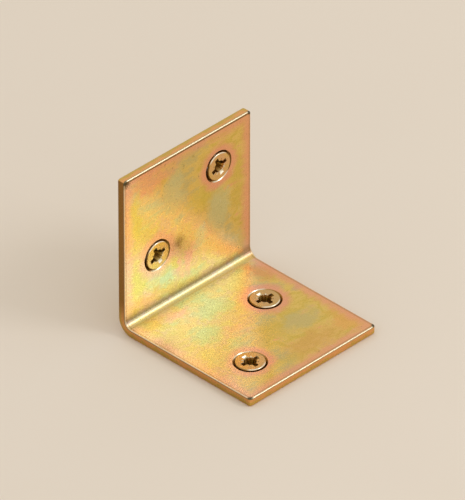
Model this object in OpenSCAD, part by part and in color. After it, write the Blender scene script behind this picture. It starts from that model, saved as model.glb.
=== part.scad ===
// Corner brace bracket: one sheet folded to a right angle, fixed by four countersunk wood screws.
// The fold runs along X. The shelf leg lies on z = 0 and reaches towards -Y. The upright leg rises
// along +Z and its wall face looks towards +Y. The origin is the middle of the two shelf holes.

/* [Bracket] */
// Width of both legs, along the fold
bracket_w = 40; // [34:1:60]
// Height of the upright leg above the shelf face
wall_leg = 41.5; // [38:0.5:80]
// Reach of the shelf leg from the wall face
shelf_leg = 41.5; // [38:0.5:80]
// Thickness of the sheet
sheet_t = 2.2; // [1.9:0.1:3]
// Inner radius of the fold
fold_r = 2.2; // [1:0.1:4]
// Radius of the corners at the free ends, in plan
corner_r = 0.7; // [0.5:0.1:3]
// Width of the broken edge round the visible faces
edge_break = 0.3; // [0.1:0.05:0.5]

/* [Screw holes] */
// Distance between the two holes of a leg, along the fold
hole_gap_along = 19.5; // [14:0.1:22]
// Distance between the two holes of a leg, away from the fold
hole_gap_out = 14.6; // [12:0.1:15]
// Distance from the back of the fold to the nearer hole
hole_near = 16.8; // [14:0.1:18]
// Diameter of a hole at the mounting face
hole_d = 4.5; // [4.3:0.1:4.8]
// Diameter of the countersink at the visible face
sink_d = 8; // [7.8:0.1:8.3]
// Cone angle of the countersink, which is wider than the head's
sink_angle = 105; // [100:1:110]

/* [Screws] */
// Overall length of a screw, head included
screw_len = 12; // [10:1:20]
// Diameter over the thread
thread_d = 4; // [3.5:0.1:4]
// Distance from the mounting face to where the thread has its full width
thread_start = 0.05; // [0.05:0.05:0.2]
// Length of the point
point_len = 3.6; // [2:0.2:5]
// Diameter of the head
head_d = 7; // [6.8:0.1:7.5]
// Height of the straight rim of the head
head_rim = 0.3; // [0.2:0.05:0.4]
// Cone angle of the head
head_angle = 90; // [88:1:94]
// Rise of a head above the place where it would touch the foot of its countersink
seat_gap = 0.05; // [0.02:0.01:0.1]
// Turn of the cross recess of the wall screws
wall_turn = 23; // [-45:1:45]
// Turn of the cross recess of the shelf screws
shelf_turn = -6; // [-45:1:45]

/* [Cross recess] */
// Width across two opposite wings
wing_span = 4.8; // [3.8:0.1:5]
// Thickness of a wing
wing_t = 1.05; // [0.7:0.05:1.1]
// Depth of the recess
recess_depth = 2.1; // [1.5:0.1:2.3]
// Width across two opposite wings at the bottom
wing_foot = 2.4; // [1.6:0.1:2.6]
// Diameter of the core of the recess at the top of the head
core_d = 2.4; // [1.6:0.1:2.6]
// Length of a small rib mark between the wings, across the head
rib_span = 3.9; // [3:0.1:4.2]
// Width and depth of a rib mark
rib_t = 0.25; // [0.15:0.05:0.3]

/* [Hidden] */
$fn = 96;
// Overshoot of a cutting tool beyond the face that it cuts
over = 1;
bend_out = fold_r + sheet_t;
wall_face_y = hole_near + hole_gap_out / 2;
head_slope = tan(head_angle / 2);
sink_slope = tan(sink_angle / 2);
sink_h = (sink_d - hole_d) / 2 / sink_slope;
head_top = sheet_t - sink_h + (head_d - hole_d) / 2 / head_slope + head_rim + seat_gap;
thread_top = -head_top - thread_start;
// Radius of the neck, where the slope at the thread's start meets the head's cone
neck_r = (thread_top + thread_d / 2 + head_rim + head_d / 2 / head_slope) / (1 + 1 / head_slope);
core_foot_d = core_d * wing_foot / wing_span;
sheet_colour = [0.80, 0.66, 0.34];
screw_colour = [0.85, 0.62, 0.34];

// Places its children on the upright leg: x along the fold, y away from it, z towards the room
module on_wall_leg() {
    translate([0, wall_face_y, bend_out]) rotate([90, 0, 0]) children();
}

// Places its children on the shelf leg, which is the same leg turned about the fold
module on_shelf_leg() {
    translate([0, wall_face_y - bend_out, 0]) rotate([0, 0, 180]) children();
}

// Places its children at the two holes of a leg, at the mounting face
module at_holes() {
    near = hole_near - bend_out;
    translate([-hole_gap_along / 2, near, 0]) children();
    translate([hole_gap_along / 2, near + hole_gap_out, 0]) children();
}

// Plan of a leg, from the end of the fold to its free end
module leg_plan(length) {
    translate([-bracket_w / 2, 0]) square([bracket_w, length - corner_r]);
    translate([corner_r - bracket_w / 2, 0]) square([bracket_w - 2 * corner_r, length]);
    for (side = [-1, 1])
        translate([side * (bracket_w / 2 - corner_r), length - corner_r]) circle(r = corner_r);
}

// Section of the tool that breaks an edge, with the edge at the origin and the face below y = 0
module edge_section() {
    polygon([[-edge_break, 0], [0, -edge_break], [over, -edge_break], [over, over], [-edge_break, over]]);
}

// Tool that breaks the edges of a leg round its visible face
module edge_tool(length) {
    side_len = length - corner_r + over;
    corner_x = bracket_w / 2 - corner_r;
    for (flip = [0, 1])
        mirror([flip, 0, 0])
            translate([bracket_w / 2, length - corner_r, 0])
                rotate([90, 0, 0]) linear_extrude(side_len) edge_section();
    for (flip = [0, 1])
        mirror([flip, 0, 0])
            translate([corner_x, length - corner_r, 0])
                rotate_extrude(angle = 90) translate([corner_r, 0]) edge_section();
    translate([-corner_x, length, 0])
        rotate([90, 0, 90]) linear_extrude(2 * corner_x) edge_section();
}

// Countersunk screw hole, from the mounting face at z = 0 to the visible face
module screw_hole() {
    translate([0, 0, -over]) cylinder(h = sheet_t + 2 * over, d = hole_d);
    translate([0, 0, sheet_t - sink_h])
        cylinder(h = sink_h + over, d1 = hole_d, d2 = sink_d + 2 * over * sink_slope);
}

module leg(length) {
    difference() {
        linear_extrude(sheet_t) leg_plan(length);
        translate([0, 0, sheet_t]) edge_tool(length);
        at_holes() screw_hole();
    }
}

// Quarter turn of the sheet between the legs, with both of its side edges broken inside
module fold() {
    half = bracket_w / 2;
    translate([0, wall_face_y - bend_out, bend_out])
        rotate([0, 90, 0])
            rotate_extrude(angle = 90)
                polygon([
                    [fold_r, edge_break - half],
                    [fold_r + edge_break, -half],
                    [bend_out, -half],
                    [bend_out, half],
                    [fold_r + edge_break, half],
                    [fold_r, half - edge_break]
                ]);
}

module bracket() {
    color(sheet_colour) {
        on_wall_leg() leg(wall_leg - bend_out);
        on_shelf_leg() leg(shelf_leg - bend_out);
        fold();
    }
}

// One wing pair of the cross recess, with the top of the head at z = 0
module wing_pair() {
    rotate([90, 0, 0])
        linear_extrude(wing_t, center = true)
            polygon([
                [-wing_span / 2, over],
                [-wing_span / 2, 0],
                [-wing_foot / 2, -recess_depth],
                [wing_foot / 2, -recess_depth],
                [wing_span / 2, 0],
                [wing_span / 2, over]
            ]);
}

module cross_recess() {
    for (turn = [0, 90])
        rotate([0, 0, turn]) wing_pair();
    translate([0, 0, -recess_depth]) cylinder(h = recess_depth, d1 = core_foot_d, d2 = core_d);
    for (turn = [45, 135])
        rotate([0, 0, turn])
            translate([-rib_span / 2, -rib_t / 2, -rib_t]) cube([rib_span, rib_t, rib_t + over]);
}

// Screw with the top of its head at z = 0 and its point below. The thread is its outer cylinder.
module screw(turn) {
    difference() {
        rotate_extrude()
            polygon([
                [0, 0],
                [head_d / 2, 0],
                [head_d / 2, -head_rim],
                [neck_r, thread_top + thread_d / 2 - neck_r],
                [thread_d / 2, thread_top],
                [thread_d / 2, point_len - screw_len],
                [0, -screw_len]
            ]);
        rotate([0, 0, turn]) cross_recess();
    }
}

// The two screws of a leg, in their countersinks, with their heads a little proud
module leg_screws(turn) {
    at_holes() translate([0, 0, head_top]) screw(turn);
}

module wall_screws() {
    color(screw_colour) on_wall_leg() leg_screws(wall_turn);
}

module shelf_screws() {
    color(screw_colour) on_shelf_leg() leg_screws(shelf_turn);
}

bracket();
wall_screws();
shelf_screws();
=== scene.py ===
import math

import bmesh
import bpy
from mathutils import Matrix, Vector
from mathutils.geometry import delaunay_2d_cdt


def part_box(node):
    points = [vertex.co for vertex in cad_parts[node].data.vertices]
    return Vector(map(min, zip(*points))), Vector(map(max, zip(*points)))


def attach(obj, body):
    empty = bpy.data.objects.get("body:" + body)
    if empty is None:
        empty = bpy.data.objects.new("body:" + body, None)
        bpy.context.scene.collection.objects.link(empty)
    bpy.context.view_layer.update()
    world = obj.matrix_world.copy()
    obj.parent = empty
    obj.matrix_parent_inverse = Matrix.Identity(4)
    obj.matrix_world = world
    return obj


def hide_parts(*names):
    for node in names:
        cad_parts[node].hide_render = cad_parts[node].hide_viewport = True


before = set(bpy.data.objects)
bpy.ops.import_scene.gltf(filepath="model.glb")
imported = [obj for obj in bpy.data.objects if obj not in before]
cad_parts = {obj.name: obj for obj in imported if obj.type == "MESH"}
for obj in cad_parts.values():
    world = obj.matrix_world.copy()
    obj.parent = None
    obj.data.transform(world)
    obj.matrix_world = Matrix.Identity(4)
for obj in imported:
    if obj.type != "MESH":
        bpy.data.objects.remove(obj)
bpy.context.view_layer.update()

# Sizes of the sheet, in metres
MM = 0.001
SHEET_LOW, SHEET_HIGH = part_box("bracket")
WIDTH = SHEET_HIGH.x - SHEET_LOW.x
WALL_Y = SHEET_HIGH.y
FRONT_Y = SHEET_LOW.y
TOP_Z = SHEET_HIGH.z
SHEET_T = 2.2 * MM
FOLD_R = 2.2 * MM
BEND_OUT = FOLD_R + SHEET_T
FOLD_Y = WALL_Y - BEND_OUT
CORNER_R = 0.7 * MM
VISIBLE_BREAK = 0.24 * MM
BREAK_SOFT = 0.09 * MM
BREAK_SINK = 0.035 * MM
BACK_ROUND = 0.45 * MM
HOLE_ROUND = 0.12 * MM
FOLD_FLARE = 0.3 * MM
FLARE_REACH = 2.5 * MM
FLARE_NIL = 0.4

# Sizes of the holes and screws, in metres
HOLE_GAP_ALONG = 19.5 * MM
HOLE_GAP_OUT = 14.6 * MM
HOLE_NEAR = 16.8 * MM
HOLE_R = 2.25 * MM
SINK_R = 4 * MM
SINK_HALF = math.radians(52.5)
SINK_DEPTH = (SINK_R - HOLE_R) / math.tan(SINK_HALF)
LIP = 0.13 * MM
SEAT_GAP = 0.05 * MM
HEAD_R = 3.5 * MM
HEAD_RIM = 0.3 * MM
HEAD_ROUND = 0.2 * MM
HEAD_TOP = SHEET_T - SINK_DEPTH + HEAD_R - HOLE_R + HEAD_RIM + SEAT_GAP
NECK_R = 1.5 * MM
CREST_R = 2 * MM
CORE_R = 1.32 * MM
PITCH = 1.8 * MM
THREAD_START = 2.7 * MM
SCREW_LEN = 12 * MM
POINT_LEN = 3.6 * MM
NECK_SOFT = 0.1 * MM
TIP_R = 0.01 * MM
WALL_TURN = math.radians(23)
SHELF_TURN = math.radians(-6)

# Form of the thread: the length of its run-in, the ridge's width as a share of the pitch, and the
# powers that round the ridge and the point
THREAD_FADE = 0.7 * PITCH
RIDGE_SHARE = 0.42
RIDGE_POWER = 0.85
POINT_POWER = 0.9

# Sizes of the cross recess, in metres
WING_SPAN = 4.8 * MM
WING_T = 1.05 * MM
WING_FOOT = 2.4 * MM
WING_END = 0.42 * MM
RECESS_DEPTH = 2.1 * MM
RECESS_OVER = 0.5 * MM
RECESS_ROUND = 0.12 * MM
CORE_TOP_R = 1.5 * MM
CORE_FOOT_R = 0.7 * CORE_TOP_R
CORE_DEPTH = 1.06 * RECESS_DEPTH
RIB_SPAN = 3.9 * MM
RIB_T = 0.22 * MM
RIB_END_DEPTH = 0.4 * RIB_T

# Sizes of the unfolded sheet, in metres, with s running from the shelf's free end to the wall leg's
SHELF_FLAT = WALL_Y - FRONT_Y - BEND_OUT
WALL_FLAT = TOP_Z - BEND_OUT
BEND_LEN = (FOLD_R + SHEET_T / 2) * math.pi / 2
SHEET_LEN = SHELF_FLAT + BEND_LEN + WALL_FLAT

# Steps of the round forms, and the sharpest angles that are shaded smooth, in degrees
BEND_STEPS = 18
CORNER_STEPS = 9
BACK_STEPS = 5
HOLE_STEPS = 72
HOLE_ROUND_STEPS = 2
SCREW_STEPS = 48
HEAD_ROUND_STEPS = 4
THREAD_ROWS = 14
CORE_STEPS = 32
SHEET_SMOOTH = 35
SCREW_SMOOTH = 32

# Distances in metres within which points are merged or count as level, the least angle of an edge in
# radians, and the least drop of a row of the thread in pitches
BODY_MERGE = 0.002 * MM
CUT_MERGE = 0.004 * MM
FLAT_MERGE = 1e-7
LEVEL = 0.001 * MM
EDGE_ANGLE = 0.2
LEAST_DROP = 0.001

# Camera, at the photograph's viewing angle
PHOTO_W, PHOTO_H = 465, 500
CAMERA_AZIMUTH = math.radians(-45.35)
CAMERA_ELEVATION = math.radians(35.11)
CAMERA_DISTANCE = 2.5
CLIP_NEAR = 0.05
CLIP_FAR = 20
PIXELS_PER_METRE = 4492
SENSOR = 36.0
AIM = Vector((0, 0, 0.020))
ASIDE = -5.62 * MM
ALOFT = 3.39 * MM


def direction(azimuth, elevation):
    """Unit vector from the part towards an azimuth and an elevation, with azimuth 0 in front of it."""
    flat = math.cos(elevation)
    return Vector((math.sin(azimuth) * flat, -math.cos(azimuth) * flat, math.sin(elevation)))


def add_camera():
    back = direction(CAMERA_AZIMUTH, CAMERA_ELEVATION)
    right = Vector((math.cos(CAMERA_AZIMUTH), math.sin(CAMERA_AZIMUTH), 0))
    up = back.cross(right)
    camera = bpy.data.objects.new("camera", bpy.data.cameras.new("camera"))
    bpy.context.scene.collection.objects.link(camera)
    camera.data.sensor_width = SENSOR
    camera.data.lens = PIXELS_PER_METRE * CAMERA_DISTANCE / max(PHOTO_W, PHOTO_H) * SENSOR
    camera.data.clip_start = CLIP_NEAR
    camera.data.clip_end = CLIP_FAR
    camera.location = AIM + right * ASIDE + up * ALOFT + back * CAMERA_DISTANCE
    camera.rotation_mode = "QUATERNION"
    camera.rotation_quaternion = (-back).to_track_quat("-Z", "Y")
    bpy.context.scene.camera = camera


add_camera()


# Places on the two legs
def on_wall_leg(x, out, thick):
    """Place of a point on the wall leg: x along the fold, out from its end, thick from the wall face."""
    return Vector((x, WALL_Y - thick, BEND_OUT + out))


def on_shelf_leg(x, out, thick):
    """Place of a point on the shelf leg, which is the same leg turned half about."""
    return Vector((-x, WALL_Y - BEND_OUT - out, thick))


NEAR_OUT = HOLE_NEAR - BEND_OUT
HOLE_PLACES = [(-HOLE_GAP_ALONG / 2, NEAR_OUT), (HOLE_GAP_ALONG / 2, NEAR_OUT + HOLE_GAP_OUT)]
SCREWS = {
    "wall_screw_lower": (on_wall_leg, HOLE_PLACES[0], WALL_TURN, "wall_screws"),
    "wall_screw_upper": (on_wall_leg, HOLE_PLACES[1], WALL_TURN, "wall_screws"),
    "shelf_screw_inner": (on_shelf_leg, HOLE_PLACES[0], SHELF_TURN, "shelf_screws"),
    "shelf_screw_outer": (on_shelf_leg, HOLE_PLACES[1], SHELF_TURN, "shelf_screws"),
}


# Mesh helpers
def new_object(name, data):
    made = bpy.data.objects.new(name, data)
    bpy.context.scene.collection.objects.link(made)
    return made


def finished(mesh, name):
    """The bmesh as a Blender mesh, with its faces looking outwards."""
    bmesh.ops.recalc_face_normals(mesh, faces=mesh.faces)
    made = bpy.data.meshes.new(name)
    mesh.to_mesh(made)
    mesh.free()
    return made


def bridge(mesh, ring_a, ring_b):
    """Quads between two rings of vertices with as many points."""
    for i in range(len(ring_a)):
        j = (i + 1) % len(ring_a)
        corners = [ring_a[i], ring_a[j], ring_b[j], ring_b[i]]
        if len(set(corners)) == 4:
            mesh.faces.new(corners)


def arc(start, end, steps):
    """Angles from start to end, both included."""
    return [start + (end - start) * i / steps for i in range(steps + 1)]


# The sheet: drawn flat, then folded
def fold(x, s, t):
    """Place of a point of the unfolded sheet, t above its mounting face. The fold's sides flare inside."""
    u = min(max((s - SHELF_FLAT) / BEND_LEN, 0), 1)
    reach = min(max((abs(x) - WIDTH / 2 + FLARE_REACH) / FLARE_REACH, 0), 1)
    flare = FOLD_FLARE * math.sin(math.pi * u) * (t / SHEET_T - FLARE_NIL) * reach * reach
    x += math.copysign(flare, x)
    if s <= SHELF_FLAT:
        return Vector((x, FRONT_Y + s, t))
    if u < 1:
        angle = u * math.pi / 2
        radius = BEND_OUT - t
        return Vector((
            x,
            WALL_Y - BEND_OUT + radius * math.sin(angle),
            BEND_OUT - radius * math.cos(angle),
        ))
    return Vector((x, WALL_Y - t, BEND_OUT + s - SHELF_FLAT - BEND_LEN))


def flat_stations():
    """Places along the sheet's long sides where its outline has a point."""
    return [SHELF_FLAT + BEND_LEN * i / BEND_STEPS for i in range(BEND_STEPS + 1)]


def flat_outline(inset):
    """The unfolded sheet's outline, drawn in by inset, as (x, s) pairs."""
    across = WIDTH / 2 - CORNER_R
    radius = CORNER_R - inset
    points = []
    for angle in arc(-math.pi / 2, 0, CORNER_STEPS):
        points.append((across + radius * math.cos(angle), CORNER_R + radius * math.sin(angle)))
    for s in flat_stations():
        points.append((WIDTH / 2 - inset, s))
    for angle in arc(0, math.pi / 2, CORNER_STEPS):
        points.append((across + radius * math.cos(angle), SHEET_LEN - CORNER_R + radius * math.sin(angle)))
    return points + [(-x, s) for x, s in reversed(points)]


def flat_holes():
    """Centres of the four holes in the unfolded sheet."""
    wall_start = SHELF_FLAT + BEND_LEN
    on_wall = [(x, wall_start + out) for x, out in HOLE_PLACES]
    on_shelf = [(-x, SHELF_FLAT - out) for x, out in HOLE_PLACES]
    return on_wall + on_shelf


def ring_points(centre, radius):
    turns = [2 * math.pi * i / HOLE_STEPS for i in range(HOLE_STEPS)]
    return [(centre[0] + radius * math.cos(a), centre[1] + radius * math.sin(a)) for a in turns]


def edge_profile():
    """(inset, t) from the visible face over the sheet's edge to the mounting face."""
    top = [
        (VISIBLE_BREAK, SHEET_T),
        (VISIBLE_BREAK - BREAK_SOFT, SHEET_T - BREAK_SINK),
        (BREAK_SINK, SHEET_T - VISIBLE_BREAK + BREAK_SOFT),
        (0, SHEET_T - VISIBLE_BREAK),
    ]
    low = [
        (BACK_ROUND * (1 - math.cos(a)), BACK_ROUND * (1 - math.sin(a)))
        for a in arc(0, math.pi / 2, BACK_STEPS)
    ]
    return top + low


def hole_profile():
    """(radius, t) from the visible face down the countersink and the hole to the mounting face."""
    top = [
        (SINK_R, SHEET_T),
        (SINK_R - LIP, SHEET_T - LIP),
    ]
    sink_foot = SHEET_T - SINK_DEPTH
    low = [
        (HOLE_R + HOLE_ROUND * (1 - math.cos(a)), HOLE_ROUND * (1 - math.sin(a)))
        for a in arc(0, math.pi / 2, HOLE_ROUND_STEPS)
    ]
    return top + [(HOLE_R, sink_foot)] + low


def flat_face(mesh, rings, cross_lines, upward):
    """Triangles between an outline ring, its hole rings and the lines across the fold."""
    vertices = [v for ring in rings for v in ring]
    flat = [Vector(v["flat"]) for v in vertices]
    edges = []
    start = 0
    for ring in rings:
        count = len(ring)
        edges += [(start + i, start + (i + 1) % count) for i in range(count)]
        start += count
    edges += cross_lines
    _, _, faces, origins, _, _ = delaunay_2d_cdt(flat, edges, [], 0, FLAT_MERGE)
    hole_radius = rings[1][0]["radius"]
    for face in faces:
        corners = [vertices[origins[i][0]] for i in face]
        middle = sum((Vector(c["flat"]) for c in corners), Vector((0, 0))) / 3
        if any((middle - Vector(centre)).length < hole_radius for centre in flat_holes()):
            continue
        order = [c["vert"] for c in corners]
        mesh.faces.new(order if upward else order[::-1])


def ring_of(mesh, points, t, radius=0):
    """Folded vertices at height t, with their flat places and, round a hole, its radius."""
    return [{"flat": p, "vert": mesh.verts.new(fold(*p, t)), "radius": radius} for p in points]


def cross_fold(count):
    """Index pairs of the outline points that face each other over the fold."""
    first = CORNER_STEPS + 1
    return [(first + i, count - 1 - first - i) for i in range(len(flat_stations()))]


def sheet_mesh():
    mesh = bmesh.new()
    outer = [ring_of(mesh, flat_outline(inset), t) for inset, t in edge_profile()]
    for above, below in zip(outer, outer[1:]):
        bridge(mesh, [v["vert"] for v in above], [v["vert"] for v in below])
    tops, bottoms = [outer[0]], [outer[-1]]
    for centre in flat_holes():
        rings = [ring_of(mesh, ring_points(centre, r), t, r) for r, t in hole_profile()]
        for above, below in zip(rings, rings[1:]):
            bridge(mesh, [v["vert"] for v in below], [v["vert"] for v in above])
        tops.append(rings[0])
        bottoms.append(rings[-1])
    lines = cross_fold(len(outer[0]))
    flat_face(mesh, tops, lines, True)
    flat_face(mesh, bottoms, lines, False)
    return finished(mesh, "bracket_sheet")


def smooth(piece, degrees):
    """Smooth shading with edges sharper than an angle kept, and flat faces left flat."""
    piece.data.shade_smooth()
    piece.data.set_sharp_from_angle(angle=math.radians(degrees))
    weighted = piece.modifiers.new("weighted_normals", "WEIGHTED_NORMAL")
    weighted.keep_sharp = True


# The screws
def lathe_rings(mesh, profile, steps):
    """Rings of vertices round Z from (radius, z) pairs."""
    turns = [2 * math.pi * i / steps for i in range(steps)]
    rings = []
    for radius, z in profile:
        rings.append([mesh.verts.new((radius * math.cos(a), radius * math.sin(a), z)) for a in turns])
    return rings


def thread_radius(z, phase):
    """Radius of the threaded shank at height z, which is 0 at the head's top, at a phase of the pitch."""
    depth = -z
    left = max(SCREW_LEN - depth, 0)
    taper = min(left / POINT_LEN, 1)
    taper = math.sin(taper * math.pi / 2) ** POINT_POWER
    start = min(max((depth - THREAD_START) / THREAD_FADE, 0), 1)
    away = abs((phase % 1) - 0.5) * 2
    ridge = max(0, 1 - away / RIDGE_SHARE) ** RIDGE_POWER
    core = NECK_R + (CORE_R - NECK_R) * start
    return (core + (CREST_R - core) * ridge * start) * taper


def screw_body_mesh():
    """The screw without its recess: the head, the neck and a helical thread that ends in the point."""
    mesh = bmesh.new()
    head = [
        (HEAD_R - HEAD_ROUND * (1 - math.sin(a)), -HEAD_ROUND * (1 - math.cos(a)))
        for a in arc(0, math.pi / 2, HEAD_ROUND_STEPS)
    ]
    cone_foot = HEAD_RIM + HEAD_R - NECK_R
    shank_top = -cone_foot - NECK_SOFT
    neck = [
        (HEAD_R, -HEAD_RIM),
        (NECK_R + NECK_SOFT, -cone_foot + NECK_SOFT),
        (NECK_R, shank_top),
    ]
    rings = lathe_rings(mesh, head + neck, SCREW_STEPS)
    for above, below in zip(rings, rings[1:]):
        bridge(mesh, below, above)
    mesh.faces.new(rings[0])
    rows = math.ceil((SCREW_LEN + shank_top) / PITCH * THREAD_ROWS)
    previous = rings[-1]
    for row in range(1, rows + THREAD_ROWS + 1):
        ring = []
        for i in range(SCREW_STEPS):
            share = i / SCREW_STEPS
            along = (row - THREAD_ROWS * (1 - share)) / THREAD_ROWS
            z = shank_top - max(along, row * LEAST_DROP) * PITCH
            z = max(z, -SCREW_LEN)
            radius = max(thread_radius(z, row / THREAD_ROWS), TIP_R)
            angle = 2 * math.pi * share
            ring.append(mesh.verts.new((radius * math.cos(angle), radius * math.sin(angle), z)))
        bridge(mesh, ring, previous)
        previous = ring
    mesh.faces.new(previous[::-1])
    bmesh.ops.remove_doubles(mesh, verts=mesh.verts, dist=BODY_MERGE)
    return finished(mesh, "screw_body")


def prism_mesh(name, outline, thickness):
    """A prism of an (x, z) outline, centred on y = 0."""
    mesh = bmesh.new()
    front = [mesh.verts.new((x, -thickness / 2, z)) for x, z in outline]
    back = [mesh.verts.new((x, thickness / 2, z)) for x, z in outline]
    bridge(mesh, front, back)
    mesh.faces.new(front[::-1])
    mesh.faces.new(back)
    return finished(mesh, name)


def core_mesh():
    """The core of the recess, which narrows downwards."""
    mesh = bmesh.new()
    profile = [(CORE_FOOT_R, -CORE_DEPTH), (CORE_TOP_R, 0), (CORE_TOP_R, RECESS_OVER)]
    rings = lathe_rings(mesh, profile, CORE_STEPS)
    for below, above in zip(rings, rings[1:]):
        bridge(mesh, below, above)
    mesh.faces.new(rings[0][::-1])
    mesh.faces.new(rings[-1])
    return finished(mesh, "recess_core")


def recess_tools():
    """The solids that the recess takes out of the head, with their turns: wing pairs, rib marks and core."""
    wing = [
        (-WING_SPAN / 2, RECESS_OVER),
        (-WING_SPAN / 2, 0),
        (-WING_SPAN / 2 + WING_END, -WING_END),
        (-WING_FOOT / 2, -RECESS_DEPTH),
        (WING_FOOT / 2, -RECESS_DEPTH),
        (WING_SPAN / 2 - WING_END, -WING_END),
        (WING_SPAN / 2, 0),
        (WING_SPAN / 2, RECESS_OVER),
    ]
    rib = [
        (-RIB_SPAN / 2, RECESS_OVER),
        (-RIB_SPAN / 2, -RIB_END_DEPTH),
        (0, -RIB_T),
        (RIB_SPAN / 2, -RIB_END_DEPTH),
        (RIB_SPAN / 2, RECESS_OVER),
    ]
    tools = []
    for turn in (0, 90):
        tools.append((prism_mesh("wing_pair", wing, WING_T), math.radians(turn)))
    for turn in (45, 135):
        tools.append((prism_mesh("rib_mark", rib, RIB_T), math.radians(turn)))
    tools.append((core_mesh(), 0.0))
    return tools


def applied_mesh(piece):
    """The piece's mesh with its modifiers applied."""
    evaluated = piece.evaluated_get(bpy.context.evaluated_depsgraph_get())
    return bpy.data.meshes.new_from_object(evaluated)


def screw_mesh():
    """The whole screw, its head's top at the origin and its point down, with softened recess edges."""
    blank = new_object("screw_blank", screw_body_mesh())
    cutters = []
    for mesh, turn in recess_tools():
        cutter = new_object("recess_tool", mesh)
        cutter.rotation_euler.z = turn
        cutters.append(cutter)
        cut = blank.modifiers.new("recess", "BOOLEAN")
        cut.operation = "DIFFERENCE"
        cut.solver = "EXACT"
        cut.object = cutter
    bpy.context.view_layer.update()
    cut_mesh = applied_mesh(blank)
    for piece in [blank] + cutters:
        bpy.data.objects.remove(piece)
    work = bmesh.new()
    work.from_mesh(cut_mesh)
    bmesh.ops.remove_doubles(work, verts=work.verts, dist=CUT_MERGE)
    mouth = []
    for edge in work.edges:
        on_top = all(abs(v.co.z) < LEVEL for v in edge.verts)
        inside = all(v.co.xy.length < HEAD_R - 2 * HEAD_ROUND for v in edge.verts)
        if on_top and inside and edge.calc_face_angle(0) > EDGE_ANGLE:
            mouth.append(edge)
    bmesh.ops.bevel(
        work, geom=mouth, offset=RECESS_ROUND, segments=2, affect="EDGES", profile=0.5, clamp_overlap=True
    )
    work.to_mesh(cut_mesh)
    work.free()
    return cut_mesh


# Materials
def linear(red, green, blue):
    """A colour given as it looks on a screen, from 0 to 255, as linear light."""
    def one(value):
        share = value / 255
        return share / 12.92 if share <= 0.04045 else ((share + 0.055) / 1.055) ** 2.4
    return (one(red), one(green), one(blue), 1)


class Nodes:
    """Short ways to add and join the nodes of one material."""

    def __init__(self, name):
        self.material = bpy.data.materials.new(name)
        self.material.use_nodes = True
        self.tree = self.material.node_tree
        self.shader = self.tree.nodes["Principled BSDF"]

    def add(self, kind, inputs=None, **settings):
        node = self.tree.nodes.new(kind)
        for key, value in settings.items():
            setattr(node, key, value)
        for key, value in (inputs or {}).items():
            self.put(value, node.inputs[key])
        return node

    def put(self, value, socket):
        if isinstance(value, bpy.types.NodeSocket):
            self.tree.links.new(value, socket)
        else:
            socket.default_value = value

    def math(self, operation, a, b=0.0):
        return self.add("ShaderNodeMath", {0: a, 1: b}, operation=operation).outputs[0]

    def plus(self, a, b):
        return self.math("ADD", a, b)

    def minus(self, a, b):
        return self.math("SUBTRACT", a, b)

    def times(self, *values):
        found = values[0]
        for value in values[1:]:
            found = self.math("MULTIPLY", found, value)
        return found

    def least(self, *values):
        found = values[0]
        for value in values[1:]:
            found = self.math("MINIMUM", found, value)
        return found

    def greatest(self, a, b):
        return self.math("MAXIMUM", a, b)

    def pushed(self, value, noise, amount):
        """A value pushed either way by a noise, by up to half the amount."""
        return self.plus(value, self.times(self.minus(noise, 0.5), amount))

    def vector(self, operation, a, b=(0, 0, 0)):
        node = self.add("ShaderNodeVectorMath", {0: a, 1: b}, operation=operation)
        return node.outputs["Value" if operation in ("DISTANCE", "LENGTH", "DOT_PRODUCT") else "Vector"]

    def length(self, a, b):
        """Length of a flat vector."""
        return self.vector("LENGTH", self.add("ShaderNodeCombineXYZ", {0: a, 1: b}).outputs[0])

    def noise(self, place, scale, detail=2.0, roughness=0.5, output="Fac"):
        inputs = {"Vector": place, "Scale": scale, "Detail": detail, "Roughness": roughness}
        return self.add("ShaderNodeTexNoise", inputs).outputs[output]

    def between(self, value, low, high, start=0.0, end=1.0):
        """Maps low..high smoothly to start..end."""
        inputs = {"Value": value, "From Min": low, "From Max": high, "To Min": start, "To Max": end}
        return self.add("ShaderNodeMapRange", inputs, interpolation_type="SMOOTHSTEP").outputs["Result"]

    def band(self, value, low, high, soft, strength=1.0):
        """Strength between low and high, and none a soft step outside them."""
        rise = self.between(value, low - soft, low, 0, strength)
        fall = self.between(value, high, high + soft, 1, 0)
        return self.times(rise, fall)

    def mix(self, factor, a, b):
        node = self.add("ShaderNodeMix", data_type="RGBA")
        self.put(factor, node.inputs["Factor"])
        self.put(a, node.inputs[6])
        self.put(b, node.inputs[7])
        return node.outputs[2]

    def ramp(self, value, stops):
        """Colours in turn as a value grows, blended smoothly."""
        node = self.add("ShaderNodeValToRGB", {"Fac": value})
        node.color_ramp.interpolation = "EASE"
        elements = node.color_ramp.elements
        while len(elements) < len(stops):
            elements.new(1.0)
        for element, (position, colour) in zip(elements, stops):
            element.position = position
            element.color = colour
        return node.outputs["Color"]

    def mapped(self, place, turn, scale):
        """The place turned and scaled, for streaks along one direction."""
        inputs = {"Vector": place, "Rotation": turn, "Scale": scale}
        return self.add("ShaderNodeMapping", inputs).outputs["Vector"]

    def bump(self, height, distance, strength=1.0, below=None):
        inputs = {"Strength": strength, "Distance": distance, "Height": height}
        if below is not None:
            inputs["Normal"] = below
        return self.add("ShaderNodeBump", inputs).outputs["Normal"]

    def metal(self, colour, rough, normal):
        """Joins a metal's colour, roughness and normal to the shader and gives the finished material."""
        self.put(colour, self.shader.inputs["Base Color"])
        self.put(rough, self.shader.inputs["Roughness"])
        self.put(normal, self.shader.inputs["Normal"])
        self.shader.inputs["Metallic"].default_value = 1.0
        return self.material


# Heights between which the shelf leg's marks change to the wall leg's, in millimetres
SHELF_BELOW = 3.0
WALL_ABOVE = 5.0

# Sides of the screws toward which the rims get painted highlights, as flat directions on the two legs
WALL_HIGHLIGHT_WAY = (-0.15, 0, 0.99)
SHELF_HIGHLIGHT_WAY = (-0.15, -0.99, 0)
NEAR_SCREW = 6.0


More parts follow.
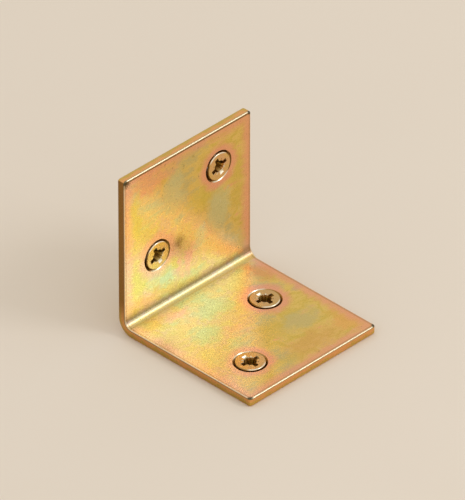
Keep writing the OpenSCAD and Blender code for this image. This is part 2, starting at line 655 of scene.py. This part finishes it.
class Places:
    """Where a point lies on the folded sheet, in millimetres, for the nodes of a material."""

    def __init__(self, nodes):
        self.nodes = nodes
        coordinates = nodes.add("ShaderNodeTexCoord").outputs["Object"]
        scaled = nodes.add("ShaderNodeVectorMath", {0: coordinates, 3: 1 / MM}, operation="SCALE")
        self.row = scaled.outputs["Vector"]
        axes = nodes.add("ShaderNodeSeparateXYZ", {0: self.row}).outputs
        self.x, self.y, self.z = axes["X"], axes["Y"], axes["Z"]
        self.past_wall = nodes.greatest(nodes.minus(self.y, FOLD_Y / MM), 0)
        self.past_shelf = nodes.greatest(nodes.minus(BEND_OUT / MM, self.z), 0)

    def height(self):
        """Height above the mounting face, on both legs and round the fold."""
        reach = self.nodes.length(self.past_wall, self.past_shelf)
        return self.nodes.minus(BEND_OUT / MM, reach)

    def fold_turn(self):
        """Turn round the fold, from 0 on the wall leg to 90 on the shelf leg."""
        turn = self.nodes.math("ARCTAN2", self.past_shelf, self.past_wall)
        return self.nodes.times(turn, math.degrees(1))

    def inward(self):
        """Grows towards the left end of the fold, where the light that each leg throws on the other is
        painted.
        """
        return self.nodes.minus(self.nodes.minus(self.y, self.x), self.z)

    def by_leg(self, shelf, wall):
        """One value on the shelf leg and another on the wall leg."""
        return self.nodes.between(self.z, SHELF_BELOW, WALL_ABOVE, shelf, wall)

    def side(self):
        """Distance from the nearest long side."""
        return self.nodes.minus(WIDTH / 2 / MM, self.nodes.math("ABSOLUTE", self.x))

    def end(self):
        """Distance from the nearest free end."""
        front = self.nodes.minus(self.y, FRONT_Y / MM)
        return self.nodes.least(front, self.nodes.minus(TOP_Z / MM, self.z))

    def inset(self):
        """Distance inwards from the sheet's outline, with its rounded corners."""
        nodes = self.nodes
        radius = CORNER_R / MM
        past_side = nodes.minus(radius, self.side())
        past_end = nodes.minus(radius, self.end())
        deep = nodes.least(nodes.greatest(past_side, past_end), 0.0)
        outer = nodes.length(nodes.greatest(past_side, 0), nodes.greatest(past_end, 0))
        return nodes.minus(nodes.minus(radius, outer), deep)

    def corner(self):
        """Distance from the nearest corner of the free ends."""
        return self.nodes.length(self.side(), self.end())

    def from_each_screw(self):
        """For each screw, the flat offset from its axis, the distance and the leg."""
        nodes = self.nodes
        found = []
        for leg, (x, out), _, _ in SCREWS.values():
            flat = (1, 0, 1) if leg is on_wall_leg else (1, 1, 0)
            offset = nodes.vector("SUBTRACT", self.row, leg(x, out, 0) / MM)
            offset = nodes.vector("MULTIPLY", offset, flat)
            found.append((offset, nodes.vector("LENGTH", offset), leg))
        return found

    def from_screw(self):
        """Distance from the nearest screw's axis."""
        return self.nodes.least(*[reach for _, reach, _ in self.from_each_screw()])

    def highlight_side(self):
        """Round a screw, from 1 where its rim gets a painted highlight to -1 on the other side."""
        nodes = self.nodes
        total = 0.0
        for offset, reach, leg in self.from_each_screw():
            way = WALL_HIGHLIGHT_WAY if leg is on_wall_leg else SHELF_HIGHLIGHT_WAY
            along = nodes.vector("DOT_PRODUCT", nodes.vector("NORMALIZE", offset), way)
            near = nodes.math("LESS_THAN", reach, NEAR_SCREW)
            total = nodes.plus(total, nodes.times(along, near))
        return total


# Colours, as they look on a screen
GOLD = linear(235, 200, 107)
OCHRE = linear(222, 190, 89)
SAGE = linear(214, 204, 142)
MOSS = linear(210, 190, 122)
ROSE = linear(245, 168, 132)
ORANGE = linear(242, 180, 98)
PEACH = linear(232, 164, 104)
LEMON = linear(224, 202, 84)
PALE = linear(232, 212, 186)
MINT = linear(210, 224, 188)
LIME = linear(226, 222, 132)
SHELL = linear(240, 200, 182)
BUTTER = linear(232, 220, 166)
# Dark olive, for painted shade lines beside edges and in the fold, and for dark spots
DARK_OLIVE = linear(110, 88, 40)
CREAM = linear(250, 240, 214)
# Wear and a painted highlight on the edges at the free ends
WORN_HIGHLIGHT = linear(238, 222, 186)
IVORY = linear(240, 220, 176)
SHADE = linear(128, 104, 52)
CUT_ORANGE = linear(238, 174, 108)
CUT_OLIVE = linear(212, 176, 88)
# Painted shade for the left cut faces of the wall leg
CUT_SHADE = linear(130, 89, 31)
CUT_BROWN = linear(208, 150, 88)
CUT_MOSS = linear(186, 152, 74)
# Colours of painted shade: at the corners, in the grooves, beside highlights and in the recess
CORNER_SHADE = linear(84, 78, 56)
GROOVE_SHADE = linear(196, 152, 84)
SHADE_BROWN = linear(120, 92, 48)
RECESS_SHADE = linear(158, 136, 80)
TAN = linear(206, 170, 112)
SCREW_GOLD = linear(228, 186, 104)
SCREW_PINK = linear(230, 178, 122)
# Paler screw colours, painted as light where the legs light the screws
SCREW_PAINTED_LIGHT_GOLD = linear(218, 200, 122)
SCREW_PAINTED_LIGHT_PINK = linear(222, 196, 142)
FLOOR_DARK = linear(234, 222, 205)
FLOOR_PALE = linear(239, 227, 211)

# The film's colours as it grows thicker: as seen once, and painted paler as light where the other leg lights
# it
FILM = [(0.0, MOSS), (0.28, GOLD), (0.46, OCHRE), (0.62, GOLD), (0.85, ROSE), (1.0, ORANGE)]
PAINTED_LIGHT_FILM = [(0.0, MINT), (0.28, BUTTER), (0.48, PALE), (0.64, BUTTER), (0.85, SHELL), (1.0, PALE)]

# Soft tints on the legs: colour, strength, then centre and reach in millimetres in the row's frame. They
# reach through the sheet, so both faces show them.
WALL_FACE = (WALL_Y - SHEET_T) / MM
SHELF_FACE = SHEET_T / MM
THROUGH = 4
TINTS = [
    (SAGE, 0.85, (-4.3, WALL_FACE, 31.5), (3.5, THROUGH, 5.5)),
    (SAGE, 0.85, (9.5, WALL_FACE, 20.5), (3.5, THROUGH, 6)),
    (OCHRE, 0.6, (15.5, WALL_FACE, 27), (2.2, THROUGH, 7)),
    (ROSE, 0.55, (-12, WALL_FACE, 37.5), (8, THROUGH, 2.5)),
    (LEMON, 0.5, (3, WALL_FACE, 25), (4, THROUGH, 3)),
    (LIME, 0.8, (-16.5, WALL_FACE, 29), (1.6, THROUGH, 8)),
    (LIME, 0.6, (-13, WALL_FACE, 24), (3, THROUGH, 3)),
    (LIME, 0.8, (-5, WALL_FACE, 12), (4, THROUGH, 2)),
    (MINT, 0.8, (-7, WALL_FACE, 9), (3, THROUGH, 2)),
    (LIME, 0.8, (-15.5, WALL_FACE, 13), (2.5, THROUGH, 7)),
    (SHELL, 0.9, (-0.5, WALL_FACE, 11), (1.6, THROUGH, 4)),
    # Painted shade: a deeper tint on the wall leg at the left end of the fold
    (OCHRE, 0.5, (-9, WALL_FACE, 6), (11, THROUGH, 2)),
    (BUTTER, 0.9, (8, WALL_FACE, 11), (3.5, THROUGH, 3)),
    (MINT, 0.7, (3.5, WALL_FACE, 15), (2, THROUGH, 3)),
    (LIME, 0.5, (-0.5, WALL_FACE, 16.5), (3, THROUGH, 3)),
    (BUTTER, 0.6, (13, WALL_FACE, 8), (3, THROUGH, 2.5)),
    (ROSE, 0.25, (18, WALL_FACE, 14), (1.8, THROUGH, 6)),
    (BUTTER, 0.8, (10.5, 17.5, SHELF_FACE), (3.5, 3, THROUGH)),
    (MINT, 0.9, (-2, 13.5, SHELF_FACE), (4, 3.5, THROUGH)),
    (MINT, 0.6, (2, 12.5, SHELF_FACE), (3, 3, THROUGH)),
    (BUTTER, 0.6, (-15.5, 11.5, SHELF_FACE), (3.5, 3, THROUGH)),
    # Painted shade: a deeper tint on the shelf leg at the left end of the fold
    (OCHRE, 0.5, (-15, 18, SHELF_FACE), (4.5, 2.5, THROUGH)),
    (MINT, 0.9, (-9, 7, SHELF_FACE), (4, 3, THROUGH)),
    (SHELL, 0.9, (-9, 17, SHELF_FACE), (3, 2, THROUGH)),
    (SHELL, 0.6, (-3, 3.5, SHELF_FACE), (3, 2.5, THROUGH)),
    (BUTTER, 0.8, (-13, 1, SHELF_FACE), (4, 3, THROUGH)),
    (PEACH, 0.75, (17, 15.5, SHELF_FACE), (3, 4, THROUGH)),
    (MOSS, 0.85, (10, -4, SHELF_FACE), (5, 3.5, THROUGH)),
    (ORANGE, 0.7, (17, -11, SHELF_FACE), (3.5, 5, THROUGH)),
    (OCHRE, 0.6, (2.5, -2, SHELF_FACE), (4, 4, THROUGH)),
    (PEACH, 0.4, (6, -12, SHELF_FACE), (9, 4, THROUGH)),
    (OCHRE, 0.5, (-2, -13, SHELF_FACE), (5, 2, THROUGH)),
]

# Small dark spots on the wall leg: colour, strength, centre and reach in millimetres
DARK_SPOTS = [
    (DARK_OLIVE, 0.6, (-2.9, WALL_FACE, 17), 2.8),
    (DARK_OLIVE, 0.4, (1.7, WALL_FACE, 38), 0.6),
    # Painted shade at the top left corner
    (CORNER_SHADE, 1.0, (-19.5, WALL_FACE, 40.8), 2.0),
]

# How far the tints' outlines are pushed about, and the shares of their reach between which they fade
TINT_PUSH = (9, 9, 9)
TINT_FADE = (1.35, 0.45)

# Where the marks on the sheet fade, in millimetres; those of the corners, sinks, lips and lines are painted
# shade and highlights. A band has its limits and its soft step.
HALO_FADE = (2.8, 0.4)
RIM_FADE = (3.6, 0.8)
CORNER_FADE = (1.25, 0.7)
SINK_FADE = (4.02, 3.96)
LIP_BAND = (3.86, 4.05, 0.05)
SHADE_LINE_BAND = (0.34, 0.6, 0.12)

# The same for the fold's painted shade and highlight, in degrees round it: 0 at the wall leg, less above it,
# and 90 at the shelf leg
TURN_PER_MM = 26.0
SHADE_RISE = (-40, 8)
SHADE_FALL = (20, 32)
FLECK_BAND = (21, 26, 4)
HIGHLIGHT_BAND = (37, 42, 4)
LOW_SHADE_BAND = (50, 74, 7)
RAGGED = 28.0
STEADY = 12.0

# Heights of the relief, in metres
SWELL = 0.03 * MM
GRAIN_RELIEF = 0.006 * MM
SCRATCH_RELIEF = 0.004 * MM


def tinted(nodes, places, colour):
    """Lays the soft tints over a colour, with their outlines pushed about by a slow noise."""
    push = nodes.vector("SUBTRACT", nodes.noise(places.row, 0.25, 4.0, 0.65, "Color"), (0.5, 0.5, 0.5))
    place = nodes.vector("ADD", places.row, nodes.vector("MULTIPLY", push, TINT_PUSH))
    for tint, strength, centre, reach in TINTS:
        offset = nodes.vector("SUBTRACT", place, centre)
        share = nodes.vector("LENGTH", nodes.vector("DIVIDE", offset, reach))
        colour = nodes.mix(nodes.between(share, *TINT_FADE, 0, strength), colour, tint)
    return colour


def film_colour(nodes, places, height, inset, reach, wisp, grain):
    """The passivate's colour: clouds of the film's colours, tints, and pink round screws and edges, with
    painted light by the fold.
    """
    cloud = nodes.between(nodes.noise(places.row, 0.11, 3.0, 0.55), 0.36, 0.64, 0.1, 0.6)
    film = nodes.pushed(nodes.pushed(cloud, wisp, 0.9), grain, 0.25)
    # Painted light: paler film on the visible faces towards the fold's left end, where each leg lights the
    # other
    near_fold = nodes.between(places.inward(), -7.0, 6.0, 0, 0.95)
    painted_light = nodes.times(near_fold, nodes.between(height, 0.5, 1.2))
    colour = tinted(nodes, places, nodes.mix(painted_light, nodes.ramp(film, FILM), nodes.ramp(film, PAINTED_LIGHT_FILM)))
    from_sink = nodes.pushed(nodes.minus(reach, SINK_R / MM), wisp, 4.0)
    halo = nodes.between(from_sink, *HALO_FADE, 0, 0.85)
    rim = nodes.between(nodes.pushed(inset, wisp, 4.0), *RIM_FADE, 0, 0.75)
    return nodes.mix(nodes.greatest(halo, rim), colour, nodes.mix(painted_light, ROSE, SHELL))


def dark_spotted(nodes, places, colour, grain):
    """Lays the dark marks over a colour, with grainy outlines."""
    for spot_colour, strength, centre, reach in DARK_SPOTS:
        away = nodes.pushed(nodes.vector("DISTANCE", places.row, centre), grain, reach * 1.5)
        colour = nodes.mix(nodes.between(away, reach, 0, 0, strength), colour, spot_colour)
    return colour


def fold_painted_light(nodes, places, colour):
    """The fold, painted: soft shade over its upper part, dark flecks, a highlight line and a shaded band
    below it.
    """
    speckle = nodes.noise(places.row, 3.5, 4.0, 0.75)
    above = nodes.greatest(nodes.minus(places.z, BEND_OUT / MM), 0.0)
    turn = nodes.minus(places.fold_turn(), nodes.times(above, TURN_PER_MM))
    ragged = nodes.pushed(turn, speckle, RAGGED)
    steady = nodes.pushed(turn, speckle, STEADY)
    shade = nodes.times(nodes.between(turn, *SHADE_RISE, 0, 0.5), nodes.between(ragged, *SHADE_FALL, 1, 0))
    colour = nodes.mix(shade, colour, SHADE)
    colour = nodes.mix(nodes.band(steady, *LOW_SHADE_BAND, 0.6), colour, OCHRE)
    flecks = nodes.between(nodes.noise(places.row, 5.0, 2.0, 0.6), 0.5, 0.6, 0, 0.55)
    colour = nodes.mix(nodes.times(nodes.band(steady, *FLECK_BAND), flecks), colour, DARK_OLIVE)
    return nodes.mix(nodes.band(steady, *HIGHLIGHT_BAND, 0.5), colour, IVORY)


def fine_marked(nodes, places, colour, grain, scratch):
    """A fine dark grain, dark specks and pale scratches."""
    colour = nodes.mix(nodes.between(grain, 0.28, 0.6, 0.08, 0.0), colour, SHADE)
    speck = nodes.noise(nodes.vector("ADD", places.row, (5, 11, 3)), 1.5, 2.0, 0.5)
    colour = nodes.mix(nodes.between(speck, 0.69, 0.75, 0, 0.45), colour, SHADE)
    return nodes.mix(nodes.between(scratch, 0.68, 0.74, 0, 0.3), colour, CREAM)


def cut_marked(nodes, places, colour, height, inset, below):
    """Cut faces: orange by the visible edge and olive by the back one, with painted shade on the left."""
    level = nodes.pushed(height, nodes.noise(places.row, 0.35, 3.0, 0.6), 3.5)
    cut = nodes.mix(nodes.between(level, 0.5, 1.5), CUT_OLIVE, CUT_ORANGE)
    # Painted shade on the left cut faces, darkest on the wall leg
    left_x = -WIDTH / 2 / MM
    on_left = nodes.between(places.x, left_x + 0.05, left_x + 0.2, 0.9, 0.0)
    shelf_left = nodes.mix(nodes.between(level, 0.5, 1.4), CUT_MOSS, CUT_BROWN)
    left = nodes.mix(nodes.between(places.z, 2.5, 9.0), shelf_left, CUT_SHADE)
    cut = nodes.mix(on_left, cut, left)
    on_cut = nodes.times(nodes.between(inset, 0.14, 0.04), nodes.between(below, 0.2, 0.3))
    return nodes.mix(on_cut, colour, cut)


def edge_marked(nodes, places, colour, inset, below, on_break):
    """Edges: wear and painted highlights, brightest at the free ends; painted dark lines, and painted shade
    at the corners.
    """
    from_end = places.end()
    # Painted shade: a dark line beside each edge, strongest by the free ends
    line = nodes.times(nodes.band(inset, *SHADE_LINE_BAND, 0.85), nodes.between(below, 0.2, 0.05))
    by_end = nodes.times(nodes.between(from_end, 0.9, 0.65), places.by_leg(0.4, 1.0))
    colour = nodes.mix(nodes.times(line, nodes.greatest(by_end, 0.4)), colour, DARK_OLIVE)
    # Painted highlight on the upper half of each edge's break, painted shade on its lower half
    upper_half = nodes.times(on_break, nodes.between(below, 0.18, 0.12, 0, 0.5))
    colour = nodes.mix(upper_half, colour, IVORY)
    lower_half = nodes.times(nodes.band(below, 0.18, 0.34, 0.05, 0.75), nodes.between(inset, 0.25, 0.15))
    colour = nodes.mix(lower_half, colour, SHADE)
    # Wear and a painted highlight on the break at the free ends
    at_end = nodes.times(on_break, nodes.between(from_end, 0.5, 0.25))
    colour = nodes.mix(at_end, colour, WORN_HIGHLIGHT)
    # Painted shade at the corners
    by_corner = nodes.between(places.corner(), *CORNER_FADE, 0, 0.95)
    at_corner = nodes.times(by_corner, nodes.between(below, 0.35, 0.15))
    return nodes.mix(at_corner, colour, CORNER_SHADE)


def sink_marked(nodes, places, colour, reach, height, below):
    """Countersinks: painted shade in the groove, and a lip with a painted highlight on one side and painted
    shade beside it.
    """
    in_sink = nodes.times(nodes.between(reach, *SINK_FADE), nodes.between(height, 0.15, 0.3))
    colour = nodes.mix(in_sink, colour, GROOVE_SHADE)
    on_lip = nodes.times(nodes.band(reach, *LIP_BAND), nodes.between(below, 0.3, 0.2))
    to_highlight = places.highlight_side()
    lip_shade = nodes.times(on_lip, nodes.band(to_highlight, -0.6, 0.3, 0.2), places.by_leg(0.2, 0.95))
    colour = nodes.mix(lip_shade, colour, SHADE_BROWN)
    lip_highlight = nodes.times(on_lip, nodes.between(to_highlight, -0.72, -0.9, 0, 0.85))
    return nodes.mix(lip_highlight, colour, CREAM), lip_highlight


def passivated_sheet():
    """Yellow zinc passivate: gold with sage, lemon and pink interference tints, satin and finely marked."""
    nodes = Nodes("passivated_sheet")
    places = Places(nodes)
    height = places.height()
    inset = places.inset()
    reach = places.from_screw()
    below = nodes.minus(SHEET_T / MM, height)
    wisp_place = nodes.mapped(places.row, (0.3, -0.55, 0.5), (0.3, 1.0, 1.0))
    wisp = nodes.noise(wisp_place, 0.5, 4.0, 0.65)
    grain = nodes.noise(places.row, 2.2, 3.0, 0.65)
    scratch = nodes.noise(nodes.mapped(places.row, (0.2, 0.5, 0.9), (6.0, 0.22, 0.22)), 1.0, 2.0, 0.5)
    down_break = nodes.math("DIVIDE", nodes.plus(nodes.greatest(inset, 0), below), VISIBLE_BREAK / MM)
    on_break = nodes.between(down_break, 1.15, 0.95)

    colour = film_colour(nodes, places, height, inset, reach, wisp, grain)
    colour = dark_spotted(nodes, places, colour, grain)
    colour = fold_painted_light(nodes, places, colour)
    colour = fine_marked(nodes, places, colour, grain, scratch)
    colour = cut_marked(nodes, places, colour, height, inset, below)
    colour = edge_marked(nodes, places, colour, inset, below, on_break)
    colour, lip_highlight = sink_marked(nodes, places, colour, reach, height, below)

    shine = nodes.greatest(lip_highlight, on_break)
    rough = nodes.minus(nodes.between(grain, 0.3, 0.7, 0.25, 0.34), nodes.times(shine, 0.07))
    swell = nodes.bump(nodes.noise(places.row, 0.2, 2.0, 0.5), SWELL)
    fine = nodes.bump(grain, GRAIN_RELIEF, 0.6, swell)
    return nodes.metal(colour, rough, nodes.bump(scratch, SCRATCH_RELIEF, 0.5, fine))


def passivated_screw():
    """The screws' passivate: orange gold with pink clouds, painted paler where light pools, with painted
    shade in the recess.
    """
    nodes = Nodes("passivated_screw")
    places = Places(nodes)
    reach = places.from_screw()
    depth = nodes.minus(HEAD_TOP / MM, places.height())
    to_highlight = places.highlight_side()
    cloud = nodes.noise(places.row, 0.42, 2.0, 0.5)
    grain = nodes.noise(places.row, 3.6, 3.0, 0.6)
    # Painted light: paler towards the fold's left end, where the legs light the screws
    painted_light = nodes.between(places.inward(), -2.0, 12.0, 0, 0.9)
    gold = nodes.mix(painted_light, SCREW_GOLD, SCREW_PAINTED_LIGHT_GOLD)
    pink = nodes.mix(painted_light, SCREW_PINK, SCREW_PAINTED_LIGHT_PINK)
    colour = nodes.mix(nodes.between(cloud, 0.4, 0.62, 0.15, 0.85), gold, pink)
    colour = nodes.mix(places.by_leg(0.65, 0.0), colour, TAN)
    colour = nodes.mix(nodes.between(grain, 0.3, 0.62, 0.14, 0.0), colour, SHADE)

    # The recess: painted shade at its foot, a painted highlight on its mouth, and wing ends with a painted
    # glint on one side and painted shade on the others
    in_recess = nodes.between(reach, 2.9, 2.7)
    recess_shade = nodes.times(nodes.between(depth, 0.4, 0.9, 0.0, 0.85), in_recess, nodes.between(depth, 2.5, 2.3))
    colour = nodes.mix(recess_shade, colour, RECESS_SHADE)
    mouth = nodes.times(nodes.band(depth, 0.03, 0.12, 0.02), in_recess)
    colour = nodes.mix(nodes.times(mouth, nodes.between(to_highlight, 0.3, -0.5, 0.2, 0.9)), colour, CREAM)
    wing_end = nodes.times(nodes.band(depth, 0.05, 0.5, 0.03), nodes.band(reach, 1.8, 2.6, 0.1))
    glint = nodes.times(wing_end, nodes.between(to_highlight, -0.6, -0.9))
    colour = nodes.mix(glint, colour, CREAM)
    wing_end_shade = nodes.times(wing_end, nodes.between(to_highlight, -0.6, -0.3, 0, 0.9))
    colour = nodes.mix(wing_end_shade, colour, SHADE_BROWN)

    # The head's side gets painted shade, and its rim painted shade but for an arc with a painted highlight
    on_side = nodes.times(nodes.between(depth, 0.16, 0.26), nodes.between(reach, 2.9, 3.1))
    colour = nodes.mix(nodes.times(on_side, nodes.between(depth, 3.0, 2.6)), colour, GROOVE_SHADE)
    rim_shade = nodes.times(nodes.between(reach, 3.28, 3.34), nodes.between(to_highlight, 0.75, 0.45))
    colour = nodes.mix(nodes.times(rim_shade, places.by_leg(0.4, 0.85)), colour, SHADE_BROWN)
    on_rim = nodes.times(nodes.between(depth, 0.24, 0.18), nodes.between(reach, 3.25, 3.3))
    rim_highlight = nodes.times(on_rim, nodes.between(to_highlight, 0.6, 0.85))
    colour = nodes.mix(rim_highlight, colour, CREAM)

    rough = nodes.minus(nodes.between(grain, 0.3, 0.7, 0.22, 0.32), nodes.times(rim_highlight, 0.1))
    rough = nodes.plus(rough, nodes.times(glint, 0.08))
    return nodes.metal(colour, rough, nodes.bump(grain, GRAIN_RELIEF, 0.7))


def pale_floor():
    """A matt floor, pale and faintly mottled."""
    nodes = Nodes("pale_floor")
    coordinates = nodes.add("ShaderNodeTexCoord").outputs["Object"]
    mottle = nodes.noise(coordinates, 9.0, 3.0, 0.5)
    nodes.put(nodes.mix(mottle, FLOOR_DARK, FLOOR_PALE), nodes.shader.inputs["Base Color"])
    nodes.shader.inputs["Roughness"].default_value = 0.85
    nodes.shader.inputs["Specular IOR Level"].default_value = 0.2
    return nodes.material


# Pieces
def add_bracket(material):
    piece = new_object("bracket_sheet", sheet_mesh())
    smooth(piece, SHEET_SMOOTH)
    piece.data.materials.append(material)
    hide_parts("bracket")
    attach(piece, "root")


def add_screws(material):
    made = screw_mesh()
    for name, (leg, (x, out), turn, node) in SCREWS.items():
        head = leg(x, out, HEAD_TOP)
        across = (leg(x + 1, out, 0) - leg(x, out, 0)).normalized()
        away = (leg(x, out + 1, 0) - leg(x, out, 0)).normalized()
        outward = (leg(x, out, 1) - leg(x, out, 0)).normalized()
        axes = Matrix((across, away, outward)).transposed().to_4x4()
        mesh = made.copy()
        mesh.name = name
        mesh.transform(Matrix.Translation(head) @ axes @ Matrix.Rotation(turn, 4, "Z"))
        piece = new_object(name, mesh)
        smooth(piece, SCREW_SMOOTH)
        mesh.materials.clear()
        mesh.materials.append(material)
        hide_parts(node)
        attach(piece, "root")


# Stage
FLOOR_REACH = 6
KEY_AZIMUTH = math.radians(31)
KEY_ELEVATION = math.radians(40)
KEY_DISTANCE = 0.8
KEY_SIZE = 0.28
KEY_POWER = 1.05
KEY_COLOUR = (0.97, 1.0, 1.06)
SKY_COLOUR = (1.0, 0.97, 0.93, 1)
SKY_LOW_STRENGTH = 0.7
SKY_HIGH_STRENGTH = 0.8
SKY_HIGH_Z = 0.55


def add_floor():
    mesh = bmesh.new()
    bmesh.ops.create_grid(mesh, x_segments=1, y_segments=1, size=FLOOR_REACH)
    made = bpy.data.meshes.new("floor")
    mesh.to_mesh(made)
    mesh.free()
    made.materials.append(pale_floor())
    new_object("floor", made)


def add_key_light():
    light = bpy.data.lights.new("key", "AREA")
    light.shape = "SQUARE"
    light.size = KEY_SIZE
    light.energy = KEY_POWER
    light.color = KEY_COLOUR
    lamp = new_object("key", light)
    towards = direction(KEY_AZIMUTH, KEY_ELEVATION)
    lamp.location = AIM + towards * KEY_DISTANCE
    lamp.rotation_mode = "QUATERNION"
    lamp.rotation_quaternion = (-towards).to_track_quat("-Z", "Y")


def add_world():
    """Even light from all round, a little stronger from above."""
    world = bpy.data.worlds.new("studio")
    bpy.context.scene.world = world
    world.use_nodes = True
    tree = world.node_tree
    background = tree.nodes["Background"]
    coordinates = tree.nodes.new("ShaderNodeTexCoord")
    axes = tree.nodes.new("ShaderNodeSeparateXYZ")
    strength = tree.nodes.new("ShaderNodeMapRange")
    strength.inputs["From Min"].default_value = 0.0
    strength.inputs["From Max"].default_value = SKY_HIGH_Z
    strength.inputs["To Min"].default_value = SKY_LOW_STRENGTH
    strength.inputs["To Max"].default_value = SKY_HIGH_STRENGTH
    tree.links.new(coordinates.outputs["Generated"], axes.inputs[0])
    tree.links.new(axes.outputs["Z"], strength.inputs["Value"])
    tree.links.new(strength.outputs["Result"], background.inputs["Strength"])
    background.inputs["Color"].default_value = SKY_COLOUR


add_floor()
add_bracket(passivated_sheet())
add_screws(passivated_screw())
add_key_light()
add_world()
bpy.context.scene.view_settings.view_transform = "Standard"
